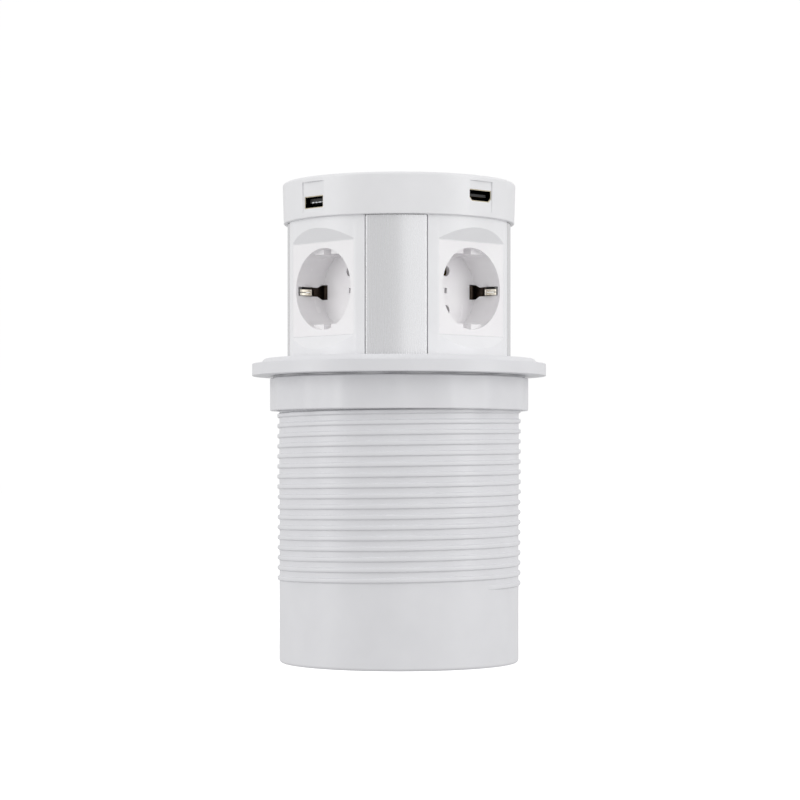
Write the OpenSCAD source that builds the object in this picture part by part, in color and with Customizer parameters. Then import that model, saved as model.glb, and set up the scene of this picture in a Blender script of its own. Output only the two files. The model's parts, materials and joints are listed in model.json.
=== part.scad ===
// Worktop socket tower, shown raised. A threaded sleeve hangs in a round hole in a worktop, a lobed
// nut clamps it from below, and a round tower with four earthed sockets slides up out of it.
// +Z is up, and the origin is the centre of the sleeve's bottom edge. The sockets face -Y, +X, +Y, -X.

/* [Sleeve] */
// Height of the sleeve, from its bottom edge to the underside of the flange
sleeve_h = 140.1; // [136:0.1:160]
// Outside diameter of the plain sleeve, which is also the root of its thread
sleeve_d = 117.5; // [116.5:0.1:122]
// Wall of the sleeve
sleeve_wall = 2.5; // [2:0.1:2.9]
// Rounding of the sleeve's bottom edge
sleeve_round = 1.5; // [0.5:0.1:2]
// Width of each guide rib inside the sleeve
rib_w = 4; // [3:0.5:6]
// Height of each guide rib off the sleeve's wall
rib_rise = 1; // [0.6:0.1:1.2]
// Height at which the guide ribs begin
rib_start = 20; // [18:1:40]

/* [Thread] */
// Pitch of the sleeve's right-hand thread
thread_pitch = 4.95; // [4:0.05:6]
// Height of the thread ridge off the sleeve
thread_rise = 1; // [0.7:0.1:1.2]
// Width of the thread ridge at its foot
thread_foot = 2.5; // [2:0.1:2.6]
// Width of the thread ridge at its crest
thread_tip = 1.6; // [0.8:0.1:1.8]
// Height of the middle of the ridge where the thread begins
thread_start = 38.2; // [32:0.1:50]

/* [Flange] */
// Diameter of the flange's rim
flange_d = 144.2; // [136:0.1:160]
// Height of the rim
rim_h = 5.9; // [4:0.1:8]
// Diameter of the raised step on the flange
step_d = 136.2; // [130:0.1:136.4]
// Height of the raised step above the rim
step_h = 2.3; // [1:0.1:4]
// Width of the bevel round the step
step_bevel = 2; // [0.5:0.1:3]
// Rounding of the rim's edges
rim_round = 0.5; // [0.2:0.1:1]
// How far the flange's lip starts above the underside of the flange
lip_start = 0.9; // [0.5:0.1:2]
// Gap all round between the tower and the flange's lip
lip_gap = 0.5; // [0.4:0.1:0.8]
// Height of the wiper seal inside the lip
seal_h = 2; // [1:0.1:3]
// Radial depth of the wiper seal
seal_t = 1.9; // [1.5:0.1:2.4]

/* [Clamp nut] */
// Height of the clamp nut
nut_h = 16.1; // [10:0.1:20]
// Wall of the clamp nut, from its bore to the top of its lobes
nut_wall = 3.4; // [2.4:0.1:6]
// Number of lobes round the nut
nut_lobes = 16; // [8:1:24]
// Depth of the hollows between the lobes
nut_wave = 1.2; // [0.5:0.1:1.6]
// Clearance between the nut and the sleeve's thread
nut_clear = 0.3; // [0.25:0.05:0.5]
// Thickness of the washer above the nut
washer_t = 0.8; // [0.6:0.1:3]
// Width of the washer's ring above the nut
washer_w = 1.75; // [1.25:0.05:5]

/* [Tower] */
// Diameter of the tower
tower_d = 109.5; // [109:0.1:110]
// Height of the tower that shows between the flange and the cap
tower_show = 66.1; // [62:0.1:75]
// Wall of the tower's panels and strips
panel_wall = 2.2; // [1.8:0.1:2.4]
// Width across each plain strip between two socket panels, groove included
strip_w = 29.5; // [28:0.1:31]
// Width of the groove between a panel and a strip
groove_w = 0.7; // [0.4:0.1:1]
// Distance from the tower's axis to the flat face of each socket
face_x = 50.1; // [49.9:0.1:50.3]
// Height of the flat face of each socket
flat_h = 45.3; // [45:0.1:48]
// Height of the middle of the sockets above the top of the flange
socket_up = 32.3; // [31:0.1:38]
// Height of the sloped hollow above and below each flat face
scoop_h = 6.1; // [4:0.1:6.4]
// Height of the tower's foot, the piston that slides in the sleeve
piston_h = 15.7; // [12:0.1:20]

/* [Socket] */
// Diameter of the round well
well_d = 39; // [38.6:0.1:39.4]
// Depth of the round well
well_depth = 17.5; // [17:0.1:18]
// Distance between the two pin holes
pin_pitch = 19; // [18.8:0.1:19.2]
// Diameter of each pin hole
pin_hole_d = 5.2; // [5:0.1:5.6]
// Distance from the well's middle to the flat of each guide land
land_at = 16.7; // [16.4:0.1:17.2]
// Width of the groove between the two lands of a pair
land_groove = 5.2; // [4.5:0.1:6]
// How far the guide lands start behind the face
land_back = 2.9; // [2:0.1:4]
// Height of each earth contact's slot
earth_slot_h = 4.4; // [4.2:0.1:5]
// Thickness of the earth contact's spring strip
earth_t = 0.8; // [0.6:0.1:1]

/* [Cap] */
// Height of the cap
cap_h = 19.7; // [19:0.1:24]
// Diameter of the cap at its top edge
cap_top_d = 114.2; // [113.6:0.1:116]
// Diameter of the cap at its bottom edge
cap_foot_d = 113.2; // [112.8:0.1:115]
// Wall of the cap
cap_wall = 2.2; // [1.8:0.1:2.4]
// Rounding of the cap's top edge
cap_round = 1.4; // [0.6:0.1:1.6]
// Rounding of the cap's bottom edge
cap_foot_round = 0.5; // [0.3:0.1:1]
// Width of the flat inset round each port
inset_w = 15.2; // [15:0.1:17]
// Height of the flat inset round each port
inset_h = 14.5; // [13:0.1:15]
// Depth of the flat of each inset behind the narrower rim of the cap
inset_in = 0.6; // [0.4:0.1:0.8]
// Height of the middle of the USB port above the cap's bottom edge
usb_up = 7.2; // [6.6:0.1:8.2]
// Height of the middle of the HDMI port above the cap's bottom edge
hdmi_up = 10; // [8.6:0.1:10.4]

/* [Hidden] */

// Directions of the four sockets, and of the strips between them
FRONT_LEFT = -90;
FRONT_RIGHT = 0;
REAR_RIGHT = 90;
REAR_LEFT = 180;
half_turn = 45;

// Circles and arcs
round_fn = 180;
small_fn = 48;
arc_steps = 4;

// Gaps that let one piece sit in another
touch = 0.05;
seat_gap = 0.2;
move_gap = 0.3;
bite = 0.6;
eps = 1;

// Sleeve and flange
sleeve_r = sleeve_d / 2;
bore_r = sleeve_r - sleeve_wall;
tower_r = tower_d / 2;
lip_r = tower_r + lip_gap;
lip_z = sleeve_h + lip_start;
rim_z = sleeve_h + rim_h;
flange_top = rim_z + step_h;
seal_z = lip_z + 2.5;
seal_r = lip_r - seat_gap;
groove_out = seal_r + seal_t;

// Bottom cover, its bosses and screws
cover_z = 1;
cover_t = 3;
boss_r = 3.2;
boss_top = 16;
boss_at = bore_r - 2.95;
cover_screw_r = 1.4;
cover_screw_len = 11;
cover_screw_angles = [0, 90, 180, 270];
bush_r = 8;
bush_bore_r = 4.5;
bush_lip = 1.6;

// Nut and washer, hung below the flange
crest_r = sleeve_r + thread_rise;
washer_gap = 0.1;
washer_top = sleeve_h - washer_gap;
washer_bottom = washer_top - washer_t;
nut_top = washer_bottom - washer_gap;
nut_bottom = nut_top - nut_h;
nut_bore_r = crest_r + nut_clear;
thread_steps = 36;
thread_bury = 0.5;
nut_edge = 1.6;
nut_r = nut_bore_r + nut_wall;
nut_ridge_rise = 2 * nut_clear / 3 - thread_rise;
nut_ridge_foot = thread_pitch - thread_foot - nut_clear;
nut_ridge_tip = nut_ridge_foot * thread_tip / thread_foot;

// Tower, from its piston to the underside of the cap
piston_top = lip_z - move_gap;
piston_bottom = piston_top - piston_h;
piston_r = bore_r - move_gap;
piston_disc = 3;
skirt_wall = 3.4;
rib_angles = [half_turn, half_turn + 180];
pad_w = 12;
pad_h = 8;
pad_t = 1.8;
pad_z = piston_bottom + 2;
pad_run = 0.05;
shell_z = lip_z + 0.1;
cap_z = flange_top + tower_show;
shell_top = cap_z - 0.15;
inner_r = tower_r - panel_wall;
strip_half = asin(strip_w / 2 / tower_r);
groove_half = groove_w / tower_r * 90 / PI;
frame_r = inner_r - seat_gap;
frame_plate = 2.4;
frame_bottom = piston_top + touch;
frame_top = shell_top;
frame_wall = 2.8;
frame_half = strip_half + 3.2;
frame_screw_at = 44;
frame_screw_r = 1.5;
lead_hole_r = 5;
lead_r = 4.2;
lead_screw_at = 10;
clamp_bar = [9, 28, 5];
clamp_seat = piston_top - piston_disc;

// Socket
socket_z = flange_top + socket_up;
flat_half = sqrt(pow(tower_r, 2) - pow(face_x, 2));
scoop_x = tower_r - face_x;
insert_w = 2 * flat_half - 1.2;
insert_h = flat_h - 1;
insert_gap = 0.2;
insert_t = 2.5;
well_r = well_d / 2;
cup_r = well_r + 1.7;
floor_t = 2;
floor_x = face_x - well_depth;
cup_back = floor_x - floor_t;
land_half = sqrt(pow(well_r, 2) - pow(land_at, 2));
slot_front = face_x - 1.5;
slot_wide = earth_slot_h + 2.8;
slot_in = 16.3;
box_w = 14;
box_h = 30;
box_back = 12.5;
tube_r = 3.4;
tube_bore_r = 2.5;
tube_front = cup_back - 1;
tube_back = box_back + 1;

// Earth contact, measured from the well's floor towards the face, and in and out from its wall
clip_foot = 6.3;
clip_grip = 9.8;
clip_lead = 13.6;
clip_tip = 14.6;
clip_in = 2.4;
clip_out = 0.8;
clip_tail_w = 3;
clip_tail_h = 1;

// Rails, rings round the middle of the tower that feed the contacts
ring_out = 11;
ring_in = 8;
ring_t = 2;
riser_t = 1.2;
riser_w = 5;
riser_pitch = 4.5;
tail_w = 4;
terminal_z = frame_bottom + frame_plate;
terminal_h = 11;
terminal_w = 16;
terminal_len = 20;
riser_z = terminal_z + terminal_h / 2 + 1;

// Cap and ports
cap_top = cap_z + cap_h;
cap_foot_r = cap_foot_d / 2;
cap_top_r = cap_top_d / 2;
cap_plate_z = shell_top + touch;
cap_plate_t = 2;
cap_plate_r = cap_foot_r - cap_wall - seat_gap;
cap_roof = 2.4;
inset_x = min(cap_foot_r, cap_top_r) - inset_in;
inset_z = cap_z + 2.5;
usb_z = cap_z + usb_up;
hdmi_z = cap_z + hdmi_up;
usb_size = [14, 13.1, 5.8];
hdmi_size = [12, 14.6, 5.6];
port_wall = 0.35;
port_back = 0.25;
usb_cut = 0.4;
hdmi_cut = 1.6;
usb_tab = [2.6, 11.2, 1.9, 0.9];
hdmi_tab = [2.2, 11.4, 1.2, 0.2];
board_t = 1.6;
board_w = 20;
board_x = inset_x - port_back - usb_size[0] - 1;
board_front = sqrt(pow(min(cap_foot_r, cap_top_r) - cap_wall, 2) - pow(board_w / 2, 2)) - seat_gap;
usb_board_z = usb_z - usb_size[2] / 2 - touch - board_t;
hdmi_board_z = hdmi_z - hdmi_size[2] / 2 - touch - board_t;
post_r = 2;
post_in = 2.5;
post_z = cap_plate_z + cap_plate_t - bite;

// Plain cylinders: a drum is large, a peg is small, and a rod lies along +X from x0 to x1
module drum(r, h, z = 0) {
    translate([0, 0, z]) cylinder(r = r, h = h, $fn = round_fn);
}

module peg(r, h, z = 0) {
    translate([0, 0, z]) cylinder(r = r, h = h, $fn = small_fn);
}

module rod(r, x0, x1, fn = small_fn) {
    translate([x0, 0, 0]) rotate([0, 90, 0]) cylinder(r = r, h = x1 - x0, $fn = fn);
}

// A flat washer shape, standing on z = 0
module ring(out, in, h) {
    difference() {
        drum(out, h);
        drum(in, h + 2 * eps, -eps);
    }
}

// A wedge from the axis outwards, half degrees to each side of +X
module wedge(half, reach, z, h) {
    x = reach * cos(half);
    y = reach * sin(half);
    translate([0, 0, z]) linear_extrude(h) polygon([[0, 0], [x, -y], [reach / cos(half) + eps, 0], [x, y]]);
}

// A box centred on y and z, from x0 to x1
module slab(x0, x1, w, h, z = 0) {
    translate([x0, -w / 2, z - h / 2]) cube([x1 - x0, w, h]);
}

// Points of a quarter round of radius r about c, turned by a start angle
function arc(c, r, from, to) = [for (i = [0 : arc_steps]) let(a = from + (to - from) * i / arc_steps)
    [c[0] + r * cos(a), c[1] + r * sin(a)]];

// Outline of a flat strip of thickness t that follows the points p
function along(p, i) = let(d = p[min(i + 1, len(p) - 1)] - p[max(i - 1, 0)]) d / norm(d);
function beside(p, i, d) = let(a = along(p, i)) p[i] + d * [-a[1], a[0]];
function ribbon(p, t) = concat(
    [for (i = [0 : len(p) - 1]) beside(p, i, t / 2)],
    [for (i = [len(p) - 1 : -1 : 0]) beside(p, i, -t / 2)]);

// A helical ridge: root is the cylinder it grows from, rise is positive outwards
function ridge_ring(root, rise, foot, tip, z, angle, grown) = let(
    sign = rise > 0 ? 1 : -1,
    crest = root + rise * grown - sign * (1 - grown) * thread_bury / 2,
    buried = root - sign * thread_bury,
    wide = foot / 2 + (foot - tip) / 2 / abs(rise) * thread_bury)
    [for (p = [[buried, -wide], [crest, -tip / 2], [crest, tip / 2], [buried, wide]])
        [p[0] * cos(angle), p[0] * sin(angle), z + p[1]]];

module helical_ridge(root, rise, foot, tip, z_from, z_to, z_of_angle_0) {
    first = ceil((z_from - z_of_angle_0) / thread_pitch * thread_steps);
    last = floor((z_to - z_of_angle_0) / thread_pitch * thread_steps);
    n = last - first;
    fade = 7;
    points = [for (i = [0 : n]) each ridge_ring(root, rise, foot, tip,
        z_of_angle_0 + thread_pitch * (first + i) / thread_steps,
        (first + i) * 360 / thread_steps, min(1, i / fade, (n - i) / fade))];
    sides = [for (i = [0 : n - 1], j = [0 : 3]) let(a = 4 * i + j, b = 4 * i + (j + 1) % 4)
        each rise < 0 ? [[a, a + 4, b], [b, a + 4, b + 4]] : [[a, b, a + 4], [b, b + 4, a + 4]]];
    start = [[0, 1, 2], [0, 2, 3]];
    end = [[4 * n + 2, 4 * n + 1, 4 * n], [4 * n + 3, 4 * n + 2, 4 * n]];
    flipped = [for (f = concat(start, end)) [f[2], f[1], f[0]]];
    polyhedron(points, concat(sides, rise < 0 ? concat(start, end) : flipped));
}

// Sleeve with its flange, thread, guide ribs and screw bosses
module flanged_sleeve() {
    outline = concat(
        [[bore_r, 0]],
        arc([sleeve_r - sleeve_round, sleeve_round], sleeve_round, -90, 0),
        [[sleeve_r, sleeve_h]],
        arc([flange_d / 2 - rim_round, sleeve_h + rim_round], rim_round, -90, 0),
        arc([flange_d / 2 - rim_round, rim_z - rim_round], rim_round, 0, 90),
        [[step_d / 2, rim_z], [step_d / 2, flange_top - step_bevel],
         [step_d / 2 - step_bevel, flange_top], [lip_r + rim_round, flange_top],
         [lip_r, flange_top - rim_round], [lip_r, seal_z + seal_h], [groove_out, seal_z + seal_h],
         [groove_out, seal_z], [lip_r, seal_z], [lip_r, lip_z], [bore_r, lip_z]]);
    color("whitesmoke") difference() {
        union() {
            rotate_extrude($fn = round_fn) polygon(outline);
            helical_ridge(sleeve_r, thread_rise, thread_foot, thread_tip,
                thread_start, sleeve_h - thread_foot / 2, thread_start);
            for (a = rib_angles) rotate([0, 0, a])
                translate([bore_r - rib_rise, -rib_w / 2, rib_start])
                    cube([rib_rise + bite, rib_w, lip_z + bite - rib_start]);
            for (a = cover_screw_angles) rotate([0, 0, a])
                translate([boss_at, 0, 0])
                    peg(boss_r, boss_top - cover_z - cover_t, cover_z + cover_t + touch);
        }
        for (a = cover_screw_angles) rotate([0, 0, a])
            translate([boss_at, 0, 0]) peg(cover_screw_r + touch, boss_top - 2);
    }
}

// Soft ring in the flange's groove that wipes the tower as it slides
module lip_seal() {
    color("dimgray") translate([0, 0, seal_z + touch]) ring(groove_out - touch, seal_r, seal_h - 2 * touch);
}

// Disc that closes the sleeve's bottom end
module bottom_cover() {
    color("gainsboro") difference() {
        drum(bore_r - seat_gap, cover_t, cover_z);
        peg(bush_r + touch, boss_top);
        for (a = cover_screw_angles) rotate([0, 0, a]) translate([boss_at, 0, 0]) {
            peg(cover_screw_r + seat_gap, boss_top);
            peg(2 * cover_screw_r + seat_gap, cover_z + cover_t / 2);
        }
    }
}

// A pan-head screw whose head rests on z = 0 and whose shank goes up
module screw(r, len, head_h) {
    peg(r, len);
    translate([0, 0, -head_h]) difference() {
        peg(2 * r, head_h);
        translate([0, 0, -eps]) cylinder(r = r * 0.8, h = eps + head_h / 2, $fn = 6);
    }
}

module bottom_screws() {
    color("silver") for (a = cover_screw_angles) rotate([0, 0, a])
        translate([boss_at, 0, cover_z + cover_t / 2])
            screw(cover_screw_r, cover_screw_len, cover_t / 2 - seat_gap);
}

// Rubber bush in the bottom cover for the supply lead
module lead_bush() {
    color("dimgray") difference() {
        union() {
            peg(bush_r, cover_t + bush_lip, cover_z);
            peg(bush_r + bush_lip, bush_lip, cover_z + cover_t + touch);
        }
        peg(bush_bore_r, boss_top);
    }
}

// Flat washer between the nut and the worktop's underside
module clamp_washer() {
    color("gray") translate([0, 0, washer_bottom]) ring(nut_bore_r + washer_w, nut_bore_r, washer_t);
}

// Lobed ring nut with its own internal thread
module clamp_nut() {
    wave_steps = 10;
    n = nut_lobes * wave_steps;
    rim = [for (i = [0 : n - 1]) let(r = nut_r - nut_wave * (1 - cos(360 * i / wave_steps)) / 2)
        [r * cos(360 * i / n), r * sin(360 * i / n)]];
    color("whitesmoke") union() {
        difference() {
            translate([0, 0, nut_bottom]) linear_extrude(nut_h) polygon(rim);
            drum(nut_bore_r, nut_h + 2 * eps, nut_bottom - eps);
        }
        helical_ridge(nut_bore_r, nut_ridge_rise, nut_ridge_foot, nut_ridge_tip,
            nut_bottom + nut_edge, nut_top - nut_edge, thread_start + thread_pitch / 2);
    }
}

// Piston at the foot of the tower: it stops under the flange's lip
module tower_base() {
    color("lightgray") difference() {
        drum(piston_r, piston_h, piston_bottom);
        drum(piston_r - skirt_wall, piston_h - piston_disc + eps, piston_bottom - eps);
        peg(lead_hole_r, lip_z);
        for (a = rib_angles) rotate([0, 0, a])
            translate([bore_r - rib_rise - move_gap, -rib_w / 2 - move_gap, piston_bottom - eps])
                cube([rib_rise + eps, rib_w + 2 * move_gap, piston_h + 2 * eps]);
        for (a = [0 : 90 : 270]) rotate([0, 0, a])
            translate([piston_r - pad_t, -pad_w / 2 - touch, pad_z - touch])
                cube([pad_t + eps, pad_w + 2 * touch, pad_h + 2 * touch]);
        for (a = [half_turn : 90 : 315]) rotate([0, 0, a])
            translate([frame_screw_at, 0, 0]) peg(frame_screw_r, piston_h + eps, piston_bottom);
        for (y = [-1, 1]) translate([0, y * lead_screw_at, 0])
            peg(frame_screw_r + touch, piston_h - 0.5, piston_bottom);
    }
}

// Pads in the piston's skirt that rub on the sleeve and hold the tower up
module friction_pads() {
    color("dimgray") for (a = [0 : 90 : 270]) rotate([0, 0, a]) intersection() {
        drum(bore_r - pad_run, pad_h, pad_z);
        translate([piston_r - pad_t + touch, -pad_w / 2, pad_z]) cube([pad_t + eps, pad_w, pad_h]);
    }
}

// Bar that grips the supply lead under the piston
module lead_clamp() {
    color("lightgray") difference() {
        translate([-clamp_bar[0] / 2, -clamp_bar[1] / 2, clamp_seat - clamp_bar[2] - touch])
            cube(clamp_bar);
        peg(lead_r, clamp_bar[2] + 2 * eps, clamp_seat - clamp_bar[2] - eps);
        for (y = [-1, 1]) translate([0, y * lead_screw_at, 0])
            peg(frame_screw_r + touch, clamp_bar[2] + 2 * eps, clamp_seat - clamp_bar[2] - eps);
    }
}

module lead_clamp_screws() {
    color("silver") for (y = [-1, 1])
        translate([0, y * lead_screw_at, clamp_seat - clamp_bar[2] - 2 * touch])
            screw(frame_screw_r, clamp_bar[2] + 2, 1.5);
}

// Frame inside the tower: two plates and four curved columns behind the strips
module core_frame() {
    color("lightgray") difference() {
        union() {
            drum(frame_r, frame_plate, frame_bottom);
            drum(frame_r, frame_plate, frame_top - frame_plate);
            for (a = [half_turn : 90 : 315]) rotate([0, 0, a]) intersection() {
                translate([0, 0, frame_bottom])
                    ring(frame_r, frame_r - frame_wall, frame_top - frame_bottom);
                wedge(frame_half, tower_r, frame_bottom, frame_top - frame_bottom);
            }
        }
        peg(lead_hole_r, frame_plate + 2 * eps, frame_bottom - eps);
        peg(ring_out, frame_plate + 2 * eps, frame_top - frame_plate - eps);
        for (a = [half_turn : 90 : 315]) rotate([0, 0, a]) translate([frame_screw_at, 0, 0])
            peg(frame_screw_r + touch, frame_plate + 2 * eps, frame_top - frame_plate - eps);
    }
}

// Three-pole block where the supply lead ends
module terminal_block() {
    color("ivory") difference() {
        translate([-terminal_w / 2, -terminal_len / 2, terminal_z + touch])
            cube([terminal_w, terminal_len, terminal_h]);
        peg(lead_hole_r - 1.5, terminal_h / 2, terminal_z);
        for (y = [-riser_pitch, 0, riser_pitch])
            translate([-riser_w / 2 - touch, y - riser_t / 2 - touch, riser_z])
                cube([riser_w + 2 * touch, riser_t + 2 * touch, terminal_h]);
    }
}

// One supply rail: a square ring at height z, with a riser down into the terminal block
module rail(z, y) {
    bottom = riser_z + touch;
    reach = ring_in + bite;
    translate([0, 0, z]) difference() {
        slab(-ring_out, ring_out, 2 * ring_out, ring_t);
        slab(-ring_in, ring_in, 2 * ring_in, ring_t + 2 * eps);
    }
    translate([-reach, y - riser_t / 2, z - ring_t / 2]) cube([2 * reach, riser_t, ring_t]);
    translate([-riser_w / 2, y - riser_t / 2, bottom]) cube([riser_w, riser_t, z - bottom]);
}

module live_rail() {
    color("peru") rail(socket_z + pin_pitch / 2, -riser_pitch);
}

module neutral_rail() {
    color("peru") rail(socket_z - pin_pitch / 2, riser_pitch);
}

module earth_rail() {
    color("peru") rail(socket_z, 0);
}

// The solid that a tower of radius r fills when its face is at distance f and its hollows rise by rise
module faced_tower(r, f, half_h, z0, z1) {
    run = tower_r - face_x + eps;
    difference() {
        drum(r, z1 - z0, z0);
        translate([0, tower_r, socket_z]) rotate([90, 0, 0]) linear_extrude(2 * tower_r) polygon([
            [f, -half_h], [f + run, -half_h - scoop_h * run / scoop_x],
            [f + run, half_h + scoop_h * run / scoop_x], [f, half_h]]);
    }
}

// White panel between two strips, with the flat for one socket
module socket_panel(direction) {
    half = half_turn - strip_half - groove_half / 2;
    slope_in = panel_wall * tan(half_turn / 2);
    hole_w = insert_w + 2 * insert_gap;
    hole_h = insert_h + 2 * insert_gap;
    color("white") rotate([0, 0, direction]) difference() {
        intersection() {
            faced_tower(tower_r, face_x, flat_h / 2, shell_z, shell_top);
            wedge(half, tower_r, shell_z, shell_top - shell_z);
        }
        faced_tower(inner_r, face_x - panel_wall, flat_h / 2 + slope_in, shell_z - eps, shell_top + eps);
        slab(face_x - 2 * panel_wall, tower_r, hole_w, hole_h, socket_z);
    }
}

module socket_panel_front_left() { socket_panel(FRONT_LEFT); }
module socket_panel_front_right() { socket_panel(FRONT_RIGHT); }
module socket_panel_rear_right() { socket_panel(REAR_RIGHT); }
module socket_panel_rear_left() { socket_panel(REAR_LEFT); }

// Plain silver strip between two panels
module strip(direction) {
    color("silver") rotate([0, 0, direction + half_turn]) intersection() {
        translate([0, 0, shell_z]) ring(tower_r, inner_r, shell_top - shell_z);
        wedge(strip_half - groove_half / 2, tower_r, shell_z, shell_top - shell_z);
    }
}

module strip_front() { strip(FRONT_LEFT); }
module strip_right() { strip(FRONT_RIGHT); }
module strip_rear() { strip(REAR_RIGHT); }
module strip_left() { strip(REAR_LEFT); }

// Square socket insert: face plate, round well, guide lands, pin holes and earth slots
module insert(direction) {
    slot_side = [[cup_back - eps, slot_wide / 2], [floor_x + 1, slot_wide / 2],
                 [floor_x + 3.6, earth_slot_h / 2], [slot_front, earth_slot_h / 2]];
    slot = concat([for (p = slot_side) [p[0], -p[1]]], [for (i = [3 : -1 : 0]) slot_side[i]]);
    color("white") rotate([0, 0, direction]) translate([0, 0, socket_z]) difference() {
        union() {
            slab(face_x - insert_t, face_x, insert_w, insert_h);
            rod(cup_r, cup_back, face_x - eps, round_fn);
        }
        difference() {
            rod(well_r, floor_x, face_x + eps, round_fn);
            for (up = [0, 180], side = [-1, 1]) rotate([up, 0, 0])
                translate([floor_x - eps, side > 0 ? land_groove / 2 : -land_half, land_at])
                    cube([well_depth - land_back + eps, land_half - land_groove / 2, well_r]);
        }
        for (z = [-1, 1]) translate([0, 0, z * pin_pitch / 2])
            rod(pin_hole_d / 2, cup_back - eps, floor_x + eps);
        slab(cup_back - eps, floor_x + eps, 1.6, 2.6);
        for (turn = [0, 180]) rotate([turn, 0, 0]) translate([0, cup_r + eps, 0]) rotate([90, 0, 0])
            linear_extrude(cup_r + eps - slot_in) polygon(slot);
    }
}

module insert_front_left() { insert(FRONT_LEFT); }
module insert_front_right() { insert(FRONT_RIGHT); }
module insert_rear_right() { insert(REAR_RIGHT); }
module insert_rear_left() { insert(REAR_LEFT); }

// Earth contact: a bent spring strip behind the floor, with a leg in each side slot of the well
module earth_clip(direction) {
    base_x = cup_back - touch - earth_t / 2;
    leg = [[base_x, 0], [base_x, well_r - 0.5], [base_x + 1.3, well_r + clip_out],
           [floor_x + clip_foot, well_r + clip_out], [floor_x + clip_grip, well_r - clip_in],
           [floor_x + clip_lead, well_r - 0.6], [floor_x + clip_tip, well_r + 0.4]];
    color("gold") rotate([0, 0, direction]) translate([0, 0, socket_z]) union() {
        for (turn = [0, 180]) rotate([turn, 0, 0]) translate([0, 0, -earth_slot_h / 2 + seat_gap])
            linear_extrude(earth_slot_h - 2 * seat_gap) polygon(ribbon(leg, earth_t));
        slab(ring_out + touch, base_x, clip_tail_w, clip_tail_h);
    }
}

module earth_clip_front_left() { earth_clip(FRONT_LEFT); }
module earth_clip_front_right() { earth_clip(FRONT_RIGHT); }
module earth_clip_rear_right() { earth_clip(REAR_RIGHT); }
module earth_clip_rear_left() { earth_clip(REAR_LEFT); }

// Two split brass tubes that take the plug's pins, each with a tail to its rail
module contacts(direction) {
    color("gold") rotate([0, 0, direction]) for (z = [-1, 1])
    translate([0, 0, socket_z + z * pin_pitch / 2]) {
        difference() {
            rod(tube_r, tube_back, tube_front);
            rod(tube_bore_r, tube_back + 1.2, tube_front + eps);
            slab(tube_back + 4, tube_front + eps, 1, 3 * tube_r);
        }
        slab(ring_out + touch, tube_back + bite, tail_w, ring_t - 0.4);
    }
}

module contacts_front_left() { contacts(FRONT_LEFT); }
module contacts_front_right() { contacts(FRONT_RIGHT); }
module contacts_rear_right() { contacts(REAR_RIGHT); }
module contacts_rear_left() { contacts(REAR_LEFT); }

// Box behind the well that holds the two contacts apart
module contact_box(direction) {
    color("lightgray") rotate([0, 0, direction]) translate([0, 0, socket_z]) difference() {
        slab(box_back, cup_back - touch, box_w, box_h);
        for (z = [-1, 1]) translate([0, 0, z * pin_pitch / 2]) rod(tube_r + touch, box_back - eps, cup_back);
        slab(box_back - eps, cup_back + eps, clip_tail_w + 2 * touch, clip_tail_h + 2 * touch);
        slab(cup_back - earth_t - 3 * touch, cup_back + eps, box_w + 2 * eps, earth_slot_h);
    }
}

module contact_box_front_left() { contact_box(FRONT_LEFT); }
module contact_box_front_right() { contact_box(FRONT_RIGHT); }
module contact_box_rear_right() { contact_box(REAR_RIGHT); }
module contact_box_rear_left() { contact_box(REAR_LEFT); }

// Posts that carry one of the small boards
module board_posts(direction, board_z) {
    rotate([0, 0, direction]) for (x = [board_x + post_in, board_front - post_in], y = [-1, 1])
        translate([x, y * (board_w / 2 - post_in), 0])
            peg(post_r, board_z - touch - post_z, post_z);
}

// Plate that carries the cap and the two ports
module cap_base() {
    color("lightgray") difference() {
        union() {
            drum(cap_plate_r, cap_plate_t, cap_plate_z);
            board_posts(FRONT_LEFT, usb_board_z);
            board_posts(FRONT_RIGHT, hdmi_board_z);
        }
        peg(ring_out, cap_plate_t + 2 * eps, cap_plate_z - eps);
        for (a = [half_turn : 90 : 315]) rotate([0, 0, a]) translate([frame_screw_at, 0, 0])
            peg(frame_screw_r + touch, cap_plate_t + 2 * eps, cap_plate_z - eps);
    }
}

module cap_screws() {
    color("silver") for (a = [half_turn : 90 : 315]) rotate([0, 0, a])
        translate([frame_screw_at, 0, cap_plate_z + cap_plate_t + touch]) mirror([0, 0, 1])
            screw(frame_screw_r, cap_plate_t + frame_plate + 2, 1.6);
}

// Opening of a port in the cap's inset: USB is plain, HDMI has its two lower corners cut
module port_outline(size, cut, grow = 0) {
    w = size[1] / 2 + grow;
    h = size[2] / 2 + grow;
    polygon([[-w, h], [-w, cut - h], [cut - w, -h], [w - cut, -h], [w, cut - h], [w, h]]);
}

// Extrudes a port outline from x0 to x1, with the outline's up along +Z
module port_prism(x0, x1, size, cut, grow = 0) {
    translate([x0, 0, 0]) rotate([90, 0, 90]) linear_extrude(x1 - x0) port_outline(size, cut, grow);
}

// Cap, open below, with a flat inset round each port
module cap_shell() {
    outline = concat(
        [[0, cap_top - cap_roof], [cap_top_r - cap_wall, cap_top - cap_roof],
         [cap_foot_r - cap_wall, cap_z + touch]],
        arc([cap_foot_r - cap_foot_round, cap_z + cap_foot_round], cap_foot_round, -90, 0),
        arc([cap_top_r - cap_round, cap_top - cap_round], cap_round, 0, 90),
        [[0, cap_top]]);
    color("white") difference() {
        rotate_extrude($fn = round_fn) polygon(outline);
        for (port = [[FRONT_LEFT, usb_z, usb_size, usb_cut], [FRONT_RIGHT, hdmi_z, hdmi_size, hdmi_cut]])
            rotate([0, 0, port[0]]) {
                slab(inset_x, cap_top_r + eps, inset_w, inset_h, inset_z + inset_h / 2);
                translate([0, 0, port[1]]) port_prism(board_x, inset_x + eps, port[2], port[3], touch);
            }
    }
}

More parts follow.
